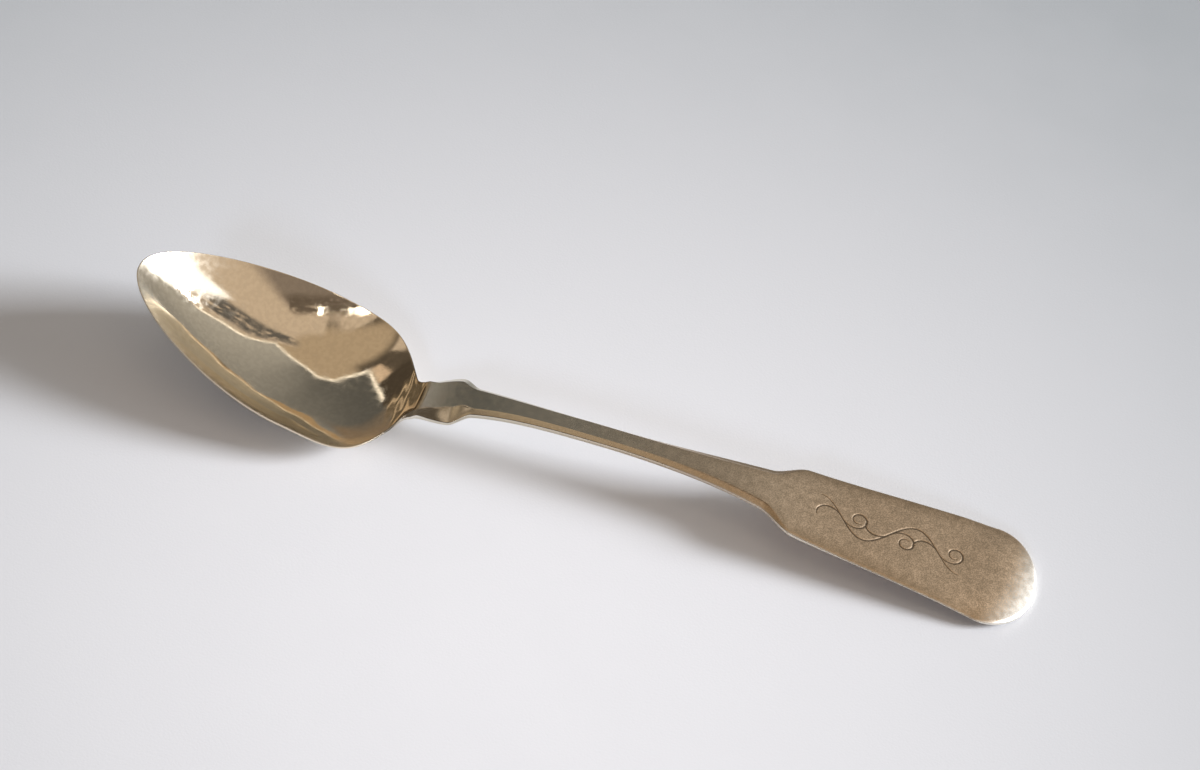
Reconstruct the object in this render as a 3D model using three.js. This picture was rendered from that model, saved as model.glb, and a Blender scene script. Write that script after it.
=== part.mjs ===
// A silver teaspoon of the fiddle pattern, in millimetres: a raised bowl and a forged handle,
// hard-soldered together at the heel. Distances along the spoon run from the tip of the bowl,
// heights from the table that the spoon lies on.
import * as THREE from "three";

const { clamp, lerp, mapLinear } = THREE.MathUtils;

// Overall
const SPOON_LENGTH = 150;
const SILVER = "#9c8f78";

// Bowl: plan
const BOWL_LENGTH = 48; // tip to the seam with the handle
const BOWL_WIDTH = 30;
const WIDEST_AT = 28.5; // the widest place, from the tip
const TIP_BLUNTNESS = 7.7; // pull of the round tip to each side
const SIDE_FULLNESS = 11.3; // pull of the sides towards the tip
const HEEL_FULLNESS = 10; // pull of the sides towards the heel
const HEEL_CORNER = 4.9; // length of the round corner from the side to the throat
const THROAT_FROM_SEAM = 2;
const THROAT_WIDTH = 8.6;
const LIP_WIDTH = 6.4; // the narrow end of the bowl that lies on the handle

// Bowl: heights
const TIP_HEIGHT = 17.5;
const RIM_AT_WIDEST = 7.35;
const RIM_LOW = 3.75; // the rim's lowest place, just before the throat
const RIM_LOW_FROM_SEAM = 3.8;
const LIP_STEP = 0.25; // how far the lip lies below the top of the handle
const LIP_HOLLOW = 0.25; // depth of the middle of the lip below its corners
const SHEET = 0.7; // thickness of the silver sheet in the middle
const RIM_THICKNESS = 0.4; // the sheet thins out to the rim
const WEAR = 0.15; // silver worn off the lowest place of the back, which leaves a small flat
const LOWEST_AT = 30; // the lowest place, from the tip
const WALL_STEEPNESS = 0.3; // 0 is a parabola across the bowl, more makes the walls steeper
const RIM_TIP_SLOPE = 0.43; // slopes of the rim, seen from the side
const RIM_WIDEST_SLOPE = 0.26;
const LIP_SLOPE = 0.5;
const KEEL_TIP_SLOPE = 1.05; // slopes of the middle of the bowl, seen from the side
const KEEL_LIP_SLOPE = 0.75;

// Seam
const SEAM = 0.3; // width of the seam between the bowl and the handle
const FRONT_LEAN = 0.03; // lean of the handle's front behind the lip
const SOLDER_CLEARANCE = 0.05; // on each face of the solder
const SOLDER_MARGIN = 0.4; // how far the solder stays inside the edge of the tongue
const TONGUE_LENGTH = 7.6; // the part of the handle that laps under the bowl
const TONGUE_ROUNDING = 3.4; // length of its half-round end
const TONGUE_TIP_THICKNESS = 0.4;

// Handle: places along it
const SHOULDER_FROM_SEAM = 5.6; // the small shoulders above the bowl
const NECK_FROM_SEAM = 9.3; // where the shoulders have run into the stem
const CREST_FROM_SEAM = 22; // the highest place of the arched stem
const WAIST_FROM_SEAM = 31; // the slimmest place of the stem
const FIDDLE_LENGTH = 39.2; // the flat end, from its shoulders
const FLARE_LENGTH = 6; // where the stem sweeps out to the shoulders of the flat end
const END_ROUNDING = 8; // length of the round end

// Handle: widths
const HEEL_WIDTH = 6.8;
const SHOULDER_WIDTH = 8.9;
const NECK_WIDTH = 5.6;
const WAIST_WIDTH = 3.6;
const STEM_END_WIDTH = 8.2; // where the flare starts
const FIDDLE_SHOULDER_WIDTH = 14;
const FIDDLE_END_WIDTH = 19.7;
const END_FLAT = 1.2; // width of the last flat of a round end

// Handle: width and drop of the bevel along the top edges, and height of the side below it
const HEEL_BEVEL = 0.35;
const SHOULDER_BEVEL = 2.2;
const NECK_BEVEL = 0.7;
const WAIST_BEVEL = 0.5;
const FLARE_BEVEL = 0.9;
const FIDDLE_BEVEL = 1.3;
const HEEL_DROP = 0.3;
const SHOULDER_DROP = 0.7;
const STEM_DROP = 0.5;
const FIDDLE_DROP = 0.3;
const HEEL_SIDE = 2;
const SHOULDER_SIDE = 0.9;
const STEM_SIDE = 0.6;
const FIDDLE_SIDE = 0.4;

// Handle: thicknesses
const HEEL_THICKNESS = 3.2;
const NECK_THICKNESS = 2.6;
const WAIST_THICKNESS = 2.2;
const FLARE_THICKNESS = 1.6;
const FIDDLE_THICKNESS = 1.1;

// Handle: heights of its top face
const SEAM_HEIGHT = 6;
const SHOULDER_HEIGHT = 7.7;
const CREST_HEIGHT = 9.15;
const STEM_HEIGHT = 8.85; // half-way between the crest and the flare
const FLARE_HEIGHT = 7.5;
const FIDDLE_HEIGHT = 6.45;
const FIDDLE_MIDDLE_HEIGHT = 3.95;

const STEEPEST_LEAN = 1.6; // where a wall is steeper, its sheet is measured as on this lean

// Facets
const RINGS = [0.08, 0.2, 0.35, 0.5, 0.65, 0.78, 0.88, 0.95, 1];
const TIP_STEPS = 12;
const HEEL_STEPS = 10;
const THROAT_STEPS = 4;
const BACK_STEPS = 4;
const LAP_STEPS = 12;
const STEM_STEPS = 6;
const END_STEPS = 7;

const SEAM_AT = BOWL_LENGTH;
const FRONT_AT = SEAM_AT + SEAM; // the upright front of the handle, behind the lip
const TONGUE_AT = SEAM_AT - TONGUE_LENGTH;
const SHOULDER_AT = SEAM_AT + SHOULDER_FROM_SEAM;
const NECK_AT = SEAM_AT + NECK_FROM_SEAM;
const CREST_AT = SEAM_AT + CREST_FROM_SEAM;
const WAIST_AT = SEAM_AT + WAIST_FROM_SEAM;
const FIDDLE_AT = SPOON_LENGTH - FIDDLE_LENGTH;
const FLARE_AT = FIDDLE_AT - FLARE_LENGTH;
const ROUND_AT = SPOON_LENGTH - END_ROUNDING;

// A natural cubic spline through [place, value] stations, as a function of the place.
function spline(stations) {
  const n = stations.length - 1;
  const gap = (i) => stations[i + 1][0] - stations[i][0];
  const slope = (i) => (stations[i + 1][1] - stations[i][1]) / gap(i);
  const share = [0];
  const bend = [0];
  for (let i = 1; i < n; i++) {
    const pivot = 2 * (gap(i - 1) + gap(i)) - gap(i - 1) * share[i - 1];
    share.push(gap(i) / pivot);
    bend.push((6 * (slope(i) - slope(i - 1)) - gap(i - 1) * bend[i - 1]) / pivot);
  }
  bend.push(0);
  for (let i = n - 1; i > 0; i--) bend[i] -= share[i] * bend[i + 1];
  return (place) => {
    let i = 0;
    while (i < n - 1 && place > stations[i + 1][0]) i++;
    const d = place - stations[i][0];
    const start = slope(i) - (gap(i) * (2 * bend[i] + bend[i + 1])) / 6;
    const twist = (bend[i + 1] - bend[i]) / (6 * gap(i));
    return stations[i][1] + d * (start + d * (bend[i] / 2 + d * twist));
  };
}

// A smooth line through [place, value, slope] stations, level beyond its ends.
function sweep(stations) {
  const last = stations.length - 1;
  return (place) => {
    if (place <= stations[0][0]) return stations[0][1];
    if (place >= stations[last][0]) return stations[last][1];
    const i = stations.findIndex((station) => place < station[0]);
    const [start, from, fromSlope] = stations[i - 1];
    const [end, to, toSlope] = stations[i];
    const gap = end - start;
    const t = (place - start) / gap;
    const rise = t * t * (3 - 2 * t);
    const swing = t * (1 - t) * gap * (fromSlope * (1 - t) - toSlope * t);
    return from + (to - from) * rise + swing;
  };
}

// The value at a place on a line of points, in order of their x.
function valueOn(points, place) {
  let i = 1;
  while (i < points.length - 1 && points[i].x < place) i++;
  const [a, b] = [points[i - 1], points[i]];
  const share = clamp((place - a.x) / Math.max(b.x - a.x, 1e-9), 0, 1);
  return lerp(a.y, b.y, share);
}

// A closed body whose skin runs through rings of equal point counts, with a fan over each end ring.
function skin(rings, startCentre, endCentre) {
  const count = rings[0].length;
  const points = [startCentre, ...rings.flat(), endCentre];
  const last = points.length - 1;
  const at = (ring, j) => 1 + ring * count + (j % count);
  const index = [];
  for (let j = 0; j < count; j++) {
    index.push(0, at(0, j), at(0, j + 1));
    for (let i = 0; i + 1 < rings.length; i++) {
      index.push(at(i, j), at(i + 1, j), at(i + 1, j + 1));
      index.push(at(i, j), at(i + 1, j + 1), at(i, j + 1));
    }
    index.push(last, at(rings.length - 1, j + 1), at(rings.length - 1, j));
  }
  const geometry = new THREE.BufferGeometry().setFromPoints(points);
  geometry.setIndex(index);
  geometry.computeVertexNormals();
  return geometry;
}

const centreOf = (ring) =>
  ring.reduce((sum, p) => sum.add(p), new THREE.Vector3()).divideScalar(ring.length);

// One side of the rim in plan, from the tip to the corner of the lip.
function rimSide(fineness) {
  const half = BOWL_WIDTH / 2;
  const throatAt = SEAM_AT - THROAT_FROM_SEAM;
  const side = new THREE.CubicBezierCurve(
    new THREE.Vector2(0, 0),
    new THREE.Vector2(0, TIP_BLUNTNESS),
    new THREE.Vector2(WIDEST_AT - SIDE_FULLNESS, half),
    new THREE.Vector2(WIDEST_AT, half),
  );
  const throat = new THREE.Vector2(throatAt, THROAT_WIDTH / 2);
  const heel = new THREE.CubicBezierCurve(
    new THREE.Vector2(WIDEST_AT, half),
    new THREE.Vector2(WIDEST_AT + HEEL_FULLNESS, half),
    new THREE.Vector2(throatAt - HEEL_CORNER, half),
    throat,
  );
  const lip = new THREE.QuadraticBezierCurve(
    throat,
    new THREE.Vector2(throatAt + THROAT_FROM_SEAM / 6, LIP_WIDTH / 2),
    new THREE.Vector2(SEAM_AT, LIP_WIDTH / 2),
  );
  return [
    ...side.getPoints(TIP_STEPS * fineness),
    ...heel.getPoints(HEEL_STEPS * fineness).slice(1),
    ...lip.getPoints(THROAT_STEPS * fineness).slice(1),
  ];
}

const RIM_FINE = rimSide(8);
const LIP_HEIGHT = SEAM_HEIGHT - LIP_STEP;

const rimHeight = sweep([
  [0, TIP_HEIGHT, -RIM_TIP_SLOPE],
  [WIDEST_AT, RIM_AT_WIDEST, -RIM_WIDEST_SLOPE],
  [SEAM_AT - RIM_LOW_FROM_SEAM, RIM_LOW, 0],
  [SEAM_AT, LIP_HEIGHT, LIP_SLOPE],
]);

// Height of the inside along the middle of the bowl.
const keelHeight = sweep([
  [0, TIP_HEIGHT, -KEEL_TIP_SLOPE],
  [LOWEST_AT, SHEET - WEAR, 0],
  [SEAM_AT, LIP_HEIGHT - LIP_HOLLOW, KEEL_LIP_SLOPE],
]);

// How far a place in plan is from the middle of the bowl: 1 at the rim.
const shareAcross = (x, y) => Math.abs(y) / Math.max(valueOn(RIM_FINE, x), 1e-6);

// Height of the inside of the bowl above a place in plan.
function insideHeight(x, y) {
  const place = clamp(x, 0, SEAM_AT);
  const across = shareAcross(place, y);
  const rise = (1 - WALL_STEEPNESS) * across ** 2 + WALL_STEEPNESS * across ** 4;
  return lerp(keelHeight(place), rimHeight(place), rise);
}

// Height of the back of the bowl: one sheet below the inside, square to the wall, and worn flat below.
function backHeight(x, y) {
  const h = 0.05;
  const low = Math.max(x - h, 0.02);
  const high = Math.min(x + h, SEAM_AT);
  const alongSlope = (insideHeight(high, y) - insideHeight(low, y)) / (high - low);
  const acrossSlope = (insideHeight(x, y + h) - insideHeight(x, y - h)) / (2 * h);
  const lean = Math.min(Math.hypot(1, alongSlope, acrossSlope), STEEPEST_LEAN);
  const sheet = lerp(SHEET, RIM_THICKNESS, shareAcross(x, y) ** 4);
  return Math.max(insideHeight(x, y) - sheet * lean, 0);
}

// The raised bowl: rings from the lowest place out to the rim on the inside, and back again outside.
function bowl() {
  const right = rimSide(1);
  const lipMiddle = new THREE.Vector2(SEAM_AT, 0);
  const left = right.slice(1).map((p) => new THREE.Vector2(p.x, -p.y));
  const rim = [...left, lipMiddle, ...right.toReversed()];
  const centre = new THREE.Vector2(LOWEST_AT, 0);
  const lift = (p, height) => new THREE.Vector3(p.x, p.y, height(p.x, p.y));
  const ring = (share, height) => rim.map((p) => lift(centre.clone().lerp(p, share), height));
  const inside = RINGS.map((share) => ring(share, insideHeight));
  const back = RINGS.toReversed().map((share) => ring(share, backHeight));
  return skin([...inside, ...back], lift(centre, insideHeight), lift(centre, backHeight));
}

const handleTop = spline([
  [SEAM_AT, SEAM_HEIGHT],
  [SHOULDER_AT, SHOULDER_HEIGHT],
  [CREST_AT, CREST_HEIGHT],
  [(CREST_AT + FLARE_AT) / 2, STEM_HEIGHT],
  [FLARE_AT, FLARE_HEIGHT],
  [FIDDLE_AT, FIDDLE_HEIGHT],
  [(FIDDLE_AT + SPOON_LENGTH) / 2, FIDDLE_MIDDLE_HEIGHT],
  [SPOON_LENGTH, FIDDLE_THICKNESS],
]);

const thickness = spline([
  [SEAM_AT, HEEL_THICKNESS],
  [NECK_AT, NECK_THICKNESS],
  [WAIST_AT, WAIST_THICKNESS],
  [FLARE_AT, FLARE_THICKNESS],
  [FIDDLE_AT, FIDDLE_THICKNESS],
  [SPOON_LENGTH, FIDDLE_THICKNESS],
]);

// Half of the handle's width, with a slope at each station, up to its round end.
const fiddleTaper = (FIDDLE_END_WIDTH - FIDDLE_SHOULDER_WIDTH) / 2 / (ROUND_AT - FIDDLE_AT);
const sideSweep = sweep([
  [SEAM_AT, HEEL_WIDTH / 2, 0],
  [SHOULDER_AT, SHOULDER_WIDTH / 2, 0],
  [NECK_AT, NECK_WIDTH / 2, (-1.5 * (NECK_WIDTH - WAIST_WIDTH)) / (WAIST_AT - NECK_AT)],
  [WAIST_AT, WAIST_WIDTH / 2, 0],
  [FLARE_AT, STEM_END_WIDTH / 2, (STEM_END_WIDTH - WAIST_WIDTH) / (FLARE_AT - WAIST_AT)],
  [FIDDLE_AT, FIDDLE_SHOULDER_WIDTH / 2, fiddleTaper],
  [ROUND_AT, FIDDLE_END_WIDTH / 2, fiddleTaper],
]);

function handleHalfWidth(x) {
  if (x <= ROUND_AT) return sideSweep(x);
  const share = Math.min((x - ROUND_AT) / END_ROUNDING, 1);
  return Math.max((FIDDLE_END_WIDTH / 2) * Math.sqrt(1 - share ** 2), END_FLAT / 2);
}

// A size of the edge that changes from the heel over the shoulders and the stem to the flat end.
const edgeSize = (heel, shoulder, neck, waist, flare, fiddle) =>
  sweep([
    [SEAM_AT, heel, 0],
    [SHOULDER_AT, shoulder, 0],
    [NECK_AT, neck, 0],
    [WAIST_AT, waist, 0],
    [FLARE_AT, flare, 0],
    [FIDDLE_AT, fiddle, 0],
  ]);
const bevelWidth = edgeSize(HEEL_BEVEL, SHOULDER_BEVEL, NECK_BEVEL, WAIST_BEVEL, FLARE_BEVEL, FIDDLE_BEVEL);
const bevelDrop = edgeSize(HEEL_DROP, SHOULDER_DROP, STEM_DROP, STEM_DROP, STEM_DROP, FIDDLE_DROP);
const sideHeight = edgeSize(HEEL_SIDE, SHOULDER_SIDE, STEM_SIDE, STEM_SIDE, STEM_SIDE, FIDDLE_SIDE);

// Half of the tongue's width: as wide as the heel, with a half-round end under the bowl.
function tongueHalfWidth(x) {
  const share = Math.min((x - TONGUE_AT) / TONGUE_ROUNDING, 1);
  return Math.max((HEEL_WIDTH / 2) * Math.sqrt(1 - (1 - share) ** 2), END_FLAT / 2);
}

// Half of the solder's width: inside the edge of the tongue.
const solderHalfWidth = (x) => Math.max(tongueHalfWidth(x) - SOLDER_MARGIN, END_FLAT / 4);

const seamHeight = (x, y) => backHeight(Math.min(x, SEAM_AT), y) - SEAM;

// A ring across the handle: down the right edge from the middle of the top, and round the back.
// The edge is a line of [distance from the middle, height] places.
function handleRing(x, edge, bottom) {
  const [half, foot] = edge.at(-1);
  const right = edge.map(([y, z]) => new THREE.Vector3(x, y, z));
  for (let i = 1; i < BACK_STEPS; i++) {
    const turn = (i / BACK_STEPS) * (Math.PI / 2);
    right.push(new THREE.Vector3(x, half * Math.cos(turn), foot - (foot - bottom) * Math.sin(turn)));
  }
  const left = right.slice(1).reverse();
  const back = new THREE.Vector3(x, 0, bottom);
  return [...right, back, ...left.map((p) => new THREE.Vector3(x, -p.y, p.z))];
}

// A ring of the stem or the flat end. The bevel also runs round the end.
function stemRing(x) {
  const half = handleHalfWidth(x);
  const bevel = bevelWidth(x);
  const roundTheEnd = clamp((x - SPOON_LENGTH + bevel) / bevel, 0, 1);
  const top = handleTop(x) - bevelDrop(x) * roundTheEnd;
  const corner = handleTop(x) - bevelDrop(x);
  const inner = Math.max(half - bevel, END_FLAT / 4);
  const edge = [
    [0, top],
    [inner / 2, top],
    [inner, top],
    [half, corner],
    [half, corner - sideHeight(x)],
  ];
  return handleRing(x, edge, handleTop(x) - thickness(x));
}

// A ring of the tongue, which follows the back of the bowl at the width of the seam.
function tongueRing(x) {
  const half = tongueHalfWidth(x);
  const heelThickness = seamHeight(SEAM_AT, 0) - (handleTop(FRONT_AT) - thickness(FRONT_AT));
  const thick = mapLinear(x, TONGUE_AT, FRONT_AT, TONGUE_TIP_THICKNESS, heelThickness);
  const heelFoot = handleTop(FRONT_AT) - bevelDrop(FRONT_AT) - sideHeight(FRONT_AT);
  const heelSide = seamHeight(SEAM_AT, half) - heelFoot;
  const side = mapLinear(x, TONGUE_AT, FRONT_AT, TONGUE_TIP_THICKNESS / 2, heelSide);
  const places = [0, solderHalfWidth(x) / 2, solderHalfWidth(x), half];
  const edge = places.map((y) => [y, seamHeight(x, y)]);
  edge.push([half, seamHeight(x, half) - side]);
  return handleRing(x, edge, seamHeight(x, 0) - thick);
}

// Places from start to end, in equal steps.
const steps = (start, end, count) =>
  Array.from({ length: count + 1 }, (_, i) => lerp(start, end, i / count));

// Places along the lap, from the end of the tongue to the seam.
const lapPlaces = steps(TONGUE_AT, SEAM_AT, LAP_STEPS);

// Places along the stem and the flat end: equal steps between the stations, and closer round the end.
function stemPlaces() {
  const front = FRONT_AT + FRONT_LEAN;
  const stations = [front, SHOULDER_AT, NECK_AT, WAIST_AT, FLARE_AT, FIDDLE_AT, ROUND_AT];
  const runs = stations.slice(1).flatMap((end, i) => steps(stations[i], end, STEM_STEPS).slice(1));
  const turns = steps(0, Math.PI / 2, END_STEPS).slice(1);
  return [front, ...runs, ...turns.map((turn) => ROUND_AT + END_ROUNDING * Math.sin(turn))];
}

// The forged handle, from the end of its tongue under the bowl to the round end.
function handle() {
  const tongue = [...lapPlaces, FRONT_AT];
  const rings = [...tongue.map(tongueRing), ...stemPlaces().map(stemRing)];
  return skin(rings, centreOf(rings[0]), centreOf(rings.at(-1)));
}

// A ring of solder between two heights that follow the bowl.
function solderRing(x, half, topHeight, bottomHeight) {
  const across = [0, half / 2, half];
  const top = across.map((y) => new THREE.Vector3(x, y, topHeight(y)));
  const bottom = across.map((y) => new THREE.Vector3(x, y, bottomHeight(y)));
  const right = [...top, ...bottom.toReversed()];
  const left = right.slice(1, -1).reverse();
  return [...right, ...left.map((p) => new THREE.Vector3(p.x, -p.y, p.z))];
}

// The hard solder: a thin layer on the tongue, turned up between the lip and the front of the handle.
function solderJoint() {
  const floor = (x) => (y) => seamHeight(x, y) + SOLDER_CLEARANCE;
  const layerTop = (x) => (y) => backHeight(Math.min(x, SEAM_AT), y) - SOLDER_CLEARANCE;
  const lipTop = (y) => insideHeight(SEAM_AT, y) - SOLDER_CLEARANCE;
  const lipEnd = SEAM_AT + SOLDER_CLEARANCE;
  const layer = [...lapPlaces.slice(1), lipEnd];
  const upright = [lipEnd + SOLDER_CLEARANCE / 2, FRONT_AT - SOLDER_CLEARANCE];
  const rings = [
    ...layer.map((x) => solderRing(x, solderHalfWidth(x), layerTop(x), floor(x))),
    ...upright.map((x) => solderRing(x, solderHalfWidth(x), lipTop, floor(x))),
  ];
  return skin(rings, centreOf(rings[0]), centreOf(rings.at(-1)));
}

function piece(name, geometry, roughness, color = SILVER) {
  const material = new THREE.MeshStandardMaterial({ color, roughness, metalness: 1 });
  const mesh = new THREE.Mesh(geometry, material);
  mesh.name = name;
  return mesh;
}

const spoon = new THREE.Group();
spoon.add(piece("bowl", bowl(), 0.25));
spoon.add(piece("handle", handle(), 0.42));
spoon.add(piece("solder_joint", solderJoint(), 0.5, "#8c8169"));
spoon.position.x = -SPOON_LENGTH / 2;

export default spoon;
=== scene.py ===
"""A worn silver teaspoon of the fiddle pattern on a pale table, by a window.

The shapes are height functions of the distance along the spoon, from the tip of the bowl, and across it, in
millimetres. Its near side, towards the camera, is the one with y below 0. Directions of light are given as
seen from the camera: azimuth 0 is straight away from it and 90 is to its right.
"""
import math

import bpy
import numpy as np
from mathutils import Matrix, Vector


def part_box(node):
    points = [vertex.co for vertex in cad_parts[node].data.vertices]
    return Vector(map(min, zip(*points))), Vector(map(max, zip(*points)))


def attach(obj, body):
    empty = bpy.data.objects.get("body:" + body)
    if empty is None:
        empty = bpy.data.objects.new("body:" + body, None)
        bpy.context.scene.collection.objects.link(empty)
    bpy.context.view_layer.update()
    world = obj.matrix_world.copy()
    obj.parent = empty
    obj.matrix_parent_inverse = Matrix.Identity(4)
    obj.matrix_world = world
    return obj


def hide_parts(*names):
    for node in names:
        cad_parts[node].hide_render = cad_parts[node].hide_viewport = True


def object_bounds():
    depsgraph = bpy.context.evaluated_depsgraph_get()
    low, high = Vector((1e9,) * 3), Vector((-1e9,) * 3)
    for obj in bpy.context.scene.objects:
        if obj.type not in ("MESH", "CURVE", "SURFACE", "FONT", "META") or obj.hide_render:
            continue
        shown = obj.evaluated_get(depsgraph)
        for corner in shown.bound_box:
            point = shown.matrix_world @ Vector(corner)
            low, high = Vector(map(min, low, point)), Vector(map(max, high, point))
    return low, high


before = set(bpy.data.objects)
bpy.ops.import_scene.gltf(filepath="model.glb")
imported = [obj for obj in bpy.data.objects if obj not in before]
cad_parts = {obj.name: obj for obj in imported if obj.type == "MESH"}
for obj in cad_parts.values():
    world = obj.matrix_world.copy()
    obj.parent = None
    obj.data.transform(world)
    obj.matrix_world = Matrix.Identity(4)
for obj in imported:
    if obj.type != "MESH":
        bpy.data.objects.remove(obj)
cad_low, cad_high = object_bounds()

MM = 0.001


def cad_size(node, axis):
    """Lowest and highest place of a node along an axis, in millimetres, lengths counted from the tip."""
    start = cad_low[0] if axis == 0 else 0
    return [(corner[axis] - start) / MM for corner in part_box(node)]


# Sizes taken from the solids
SPOON_LENGTH = (cad_high.x - cad_low.x) / MM
SEAM_AT = cad_size("bowl", 0)[1]
BOWL_HALF = cad_size("bowl", 1)[1]
TIP_HEIGHT = cad_size("bowl", 2)[1]
TONGUE_AT = cad_size("handle", 0)[0]
FIDDLE_END_HALF = cad_size("handle", 1)[1]
CREST_HEIGHT = cad_size("handle", 2)[1]

# Bowl, in plan
WIDEST_AT = 28.5
TIP_BLUNTNESS = 7.7
SIDE_FULLNESS = 11.3
HEEL_FULLNESS = 10
HEEL_CORNER = 4.9
THROAT_AT = SEAM_AT - 2
THROAT_HALF = 4.6
THROAT_FADE = 3  # length over which the finish of the bowl changes to that of its throat
THROAT_FADE_AT = THROAT_AT - 4
LIP_HALF = 3.2
LIP_STRIP = 0.1  # how near to the seam the edge of the bowl is square

# Bowl, heights and thicknesses
RIM_AT_WIDEST = 7.35
RIM_LOW = 3.75
RIM_LOW_AT = SEAM_AT - 3.8
LIP_HEIGHT = 5.75
LIP_HOLLOW = 0.25
RIM_TIP_SLOPE = -0.43
RIM_WIDEST_SLOPE = -0.26
RIM_LIP_SLOPE = 0.5
KEEL_TIP_SLOPE = -1.05
KEEL_LIP_SLOPE = 0.75
TIP_CLEARANCE = 0.02  # slopes are not taken nearer to the tip
SHEET = 0.7
RIM_THICKNESS = 0.4
RIM_ROUNDING = 0.2
RIM_BAND = 5.5  # width of the duller band inside the rim
WORN_UNTIL = 18  # how far from the tip the far side of the rim is worn as dull as the near side
WORN_FADE = 8
WEAR = 0.15  # depth worn off the back where the bowl rests
LOWEST_AT = 30
WALL_STEEPNESS = 0.3
TIP_STEEPNESS = -0.3  # the walls are gentler near the tip
STEEP_FROM = 22
STEEPEST_LEAN = 1.6
BEATING = 0.012  # height of the soft dents left by the hammer
DENT_WAVES = ((0.55, 0.31, 0.4), (-0.23, 0.62, 1.7), (0.9, -0.8, 3.1))  # radians along, across, at the start
RIPPLE = 0.011  # height of the file marks across the heel
RIPPLE_LENGTH = 1.35
RIPPLE_LEAN = 0.1
RIPPLE_WAVES = ((1, 1, 0), (0.6, 0.62, 1))  # height, pace and drift across

# Seam between the bowl and the handle
SEAM = 0.3
FLUSH = 0.003  # how far the filed solder lies below the silver on both sides
BLEND_START = SEAM_AT - 0.45  # where the lip starts to run into the top of the handle
BLEND_END = SEAM_AT + 0.55
FRONT_AT = SEAM_AT + SEAM

# Handle, places along it
FLANK_AT = SEAM_AT + 2.3
SHOULDER_AT = SEAM_AT + 5.6
NECK_AT = SEAM_AT + 9
CREST_AT = SEAM_AT + 22
WAIST_AT = SEAM_AT + 31
FIDDLE_AT = SPOON_LENGTH - 39.2
FLARE_AT = FIDDLE_AT - 6
END_ROUNDING = 8
ROUND_AT = SPOON_LENGTH - END_ROUNDING

# Handle, the tongue under the bowl and its wings
TONGUE_ROUNDING = 3.4
TONGUE_TIP_THICKNESS = 0.4
TONGUE_END_HALF = 0.6
WING_AT = SEAM_AT - 6  # where the tongue starts to widen under the bowl
WING_WIDE = SEAM_AT - 3.9  # where it is nearly as wide as the bowl
WING_INSET = 0.35  # how far it then is inside the rim
WING_THICKNESS = 0.03  # of its edge there, close against the bowl
WING_GAP = 0.02  # between the wings and the bowl
SEAM_CLOSING = 0.5  # width over which the seam narrows to that gap
WING_OUT = SEAM_AT - 2.9  # where it starts to come out beside the lip
WING_END = SEAM_AT - 0.7  # from here on it is out at its full width

# Handle, half widths
TONGUE_HALF = 3.4
HEEL_HALF = 3.85
SHOULDER_HALF = 4.9
NECK_HALF = 2.85
WAIST_HALF = 1.93
STEM_END_HALF = 4.1
FIDDLE_SHOULDER_HALF = 7
NECK_PULL = 3  # how many times steeper than on average the outline leaves the neck
FLARE_PULL = 2  # and how many times steeper it comes to the flare

# Handle, thicknesses
HEEL_THICKNESS = 3.2
NECK_THICKNESS = 2.6
WAIST_THICKNESS = 2.2
FLARE_THICKNESS = 1.6
FIDDLE_THICKNESS = 1.1
LEAST_BACK = 0.25  # least share of the thickness that the round back takes up

# Handle, heights of the top face
SEAM_HEIGHT = 6
SHOULDER_HEIGHT = 7.7
STEM_HEIGHT = 8.85
FLARE_HEIGHT = 7.5
FIDDLE_HEIGHT = 6.45
FIDDLE_MIDDLE_HEIGHT = 3.95
EDGE_SOFTNESS = 0.1
END_TURN = 7  # width of the band round the end that is turned down
END_DROP = 0.55
END_ARCH = 0.4
END_ARCH_LENGTH = 16
CROWN = 0.22  # how much lower the sides of the flat end are than its middle

# Handle, wear, and painted highlights on the round end and the very edge
EDGE_BAND = 3  # width of the darker band along the edges of the flat end
RUB_AND_HIGHLIGHT_FROM = SPOON_LENGTH - 20  # middle of the oval outside which the end is worn bright and carries a painted highlight
RUB_AND_HIGHLIGHT_SIDE = 6
RUB_AND_HIGHLIGHT_OVAL = 0.6  # its length as a share of its width
RUB_AND_HIGHLIGHT_START = 15
RUB_AND_HIGHLIGHT_LENGTH = 7
RUBBED_HEEL = 4.5  # how far from the seam the heel is worn bright
HEEL_RUB = 0.6
RUB_AND_HIGHLIGHT_EDGE = 0.3  # width of the worn bright edge of the flat end, which is also a painted highlight
EDGE_RUB_AND_HIGHLIGHT = 0.5

# Engraved vine on the flat end
VINE_MIDDLE = 125.5
VINE_LENGTH = 24
VINE_BENDS = 3
VINE_SWING = 3
VINE_REACH = 8  # no part of it is farther from the middle of the flat end
VINE_MARGIN = 2  # no tendril goes farther past the ends of the stem
LONG_TENDRIL = 11
SHORT_TENDRIL = 6
CURL_BEND = 0.22  # radians for each millimetre
CURL_TIGHTENING = 0.045
GROOVE_HALF = 0.22
GROOVE_END = 0.35  # width at the ends of a line as a share of that in its middle
GROOVE_DEPTH = 0.1

# Solder
SOLDER_INSET = 0.15  # how far the layer stays inside the tongue
SOLDER_FROM = TONGUE_AT + 0.3
SOLDER_TO = SEAM_AT - 0.2
SOLDER_LAP = 0.15  # how far the filed part reaches past both sides of the seam

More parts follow.
